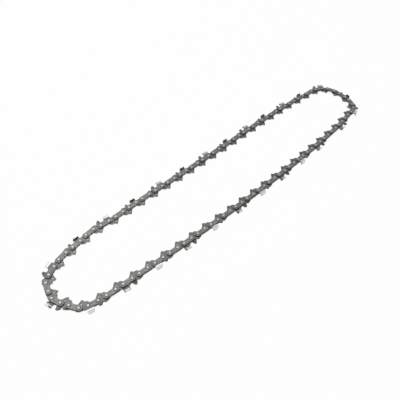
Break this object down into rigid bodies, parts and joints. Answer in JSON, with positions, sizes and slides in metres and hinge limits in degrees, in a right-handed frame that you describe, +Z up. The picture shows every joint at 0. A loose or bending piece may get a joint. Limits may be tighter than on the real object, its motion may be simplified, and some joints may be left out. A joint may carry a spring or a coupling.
{
  "type": "chainsaw chain loop",
  "caption": "Saw chain loop lying on its side: cutters left and right in turn, tie straps and tanged drive links, riveted into one closed band that bends at its rivets.",
  "frame": {"origin": "middle of the loop's box, on the surface that the chain lies on", "axes": "+X along the long runs towards the wide end, +Y across to the rear run, +Z up along the rivets"},
  "size_m": [0.4865, 0.0968, 0.0061],
  "materials": {
    "tie_strap_steel": "satin",
    "drive_link_steel": "satin",
    "cutter_chrome": "satin"
  },
  "bodies": {
    "stretch_1": {"drive_links_1": "drive_link_steel", "tie_straps_1": "tie_strap_steel", "right_cutter_1": "cutter_chrome", "left_cutter_1": "cutter_chrome", "right_cutter_2": "cutter_chrome", "left_cutter_2": "cutter_chrome"},
    "stretch_2": {"drive_links_2": "drive_link_steel", "tie_straps_2": "tie_strap_steel", "right_cutter_3": "cutter_chrome", "left_cutter_3": "cutter_chrome", "right_cutter_4": "cutter_chrome"},
    "stretch_3": {"drive_links_3": "drive_link_steel", "tie_straps_3": "tie_strap_steel", "left_cutter_4": "cutter_chrome", "right_cutter_5": "cutter_chrome", "left_cutter_5": "cutter_chrome"},
    "stretch_4": {"drive_links_4": "drive_link_steel", "tie_straps_4": "tie_strap_steel", "right_cutter_6": "cutter_chrome", "left_cutter_6": "cutter_chrome", "right_cutter_7": "cutter_chrome"},
    "stretch_5": {"drive_links_5": "drive_link_steel", "tie_straps_5": "tie_strap_steel", "right_cutter_8": "cutter_chrome", "left_cutter_7": "cutter_chrome", "right_cutter_9": "cutter_chrome", "left_cutter_8": "cutter_chrome", "right_cutter_10": "cutter_chrome"},
    "stretch_6": {"drive_links_6": "drive_link_steel", "tie_straps_6": "tie_strap_steel", "left_cutter_9": "cutter_chrome", "right_cutter_11": "cutter_chrome", "left_cutter_10": "cutter_chrome"},
    "stretch_7": {"drive_links_7": "drive_link_steel", "tie_straps_7": "tie_strap_steel", "right_cutter_12": "cutter_chrome", "left_cutter_11": "cutter_chrome", "right_cutter_13": "cutter_chrome"},
    "stretch_8": {"drive_links_8": "drive_link_steel", "tie_straps_8": "tie_strap_steel", "left_cutter_12": "cutter_chrome", "right_cutter_14": "cutter_chrome", "left_cutter_13": "cutter_chrome"}
  },
  "joints": [
    {"name": "pivot_1", "type": "hinge", "parent": "stretch_1", "child": "stretch_2", "pos_m": [-0.18672, -0.03194, 0.00305], "axis": [0, 0, 1], "range_deg": [-11, 11]},
    {"name": "pivot_2", "type": "hinge", "parent": "stretch_2", "child": "stretch_3", "pos_m": [-0.0753, -0.03817, 0.00305], "axis": [0, 0, 1], "range_deg": [-13, 13]},
    {"name": "pivot_3", "type": "hinge", "parent": "stretch_3", "child": "stretch_4", "pos_m": [0.03627, -0.04054, 0.00305], "axis": [0, 0, 1], "range_deg": [-13, 13]},
    {"name": "pivot_4", "type": "hinge", "parent": "stretch_4", "child": "stretch_5", "pos_m": [0.14782, -0.03758, 0.00305], "axis": [0, 0, 1], "range_deg": [-13, 13]},
    {"name": "pivot_5", "type": "hinge", "parent": "stretch_5", "child": "stretch_6", "pos_m": [0.16312, 0.03897, 0.00305], "axis": [0, 0, 1], "range_deg": [-13, 13]},
    {"name": "pivot_6", "type": "hinge", "parent": "stretch_6", "child": "stretch_7", "pos_m": [0.05155, 0.03997, 0.00305], "axis": [0, 0, 1], "range_deg": [-13, 13]},
    {"name": "pivot_7", "type": "hinge", "parent": "stretch_7", "child": "stretch_8", "pos_m": [-0.06004, 0.03976, 0.00305], "axis": [0, 0, 1], "range_deg": [-13, 13]}
  ],
  "couplings": [
    {"joint": "pivot_2", "follows": "pivot_1", "ratio": -1.0041},
    {"joint": "pivot_3", "follows": "pivot_1", "ratio": -1.0019},
    {"joint": "pivot_4", "follows": "pivot_1", "ratio": 1.1221},
    {"joint": "pivot_5", "follows": "pivot_1", "ratio": 0.89584},
    {"joint": "pivot_6", "follows": "pivot_1", "ratio": -1.0118},
    {"joint": "pivot_7", "follows": "pivot_1", "ratio": -1.0086}
  ]
}
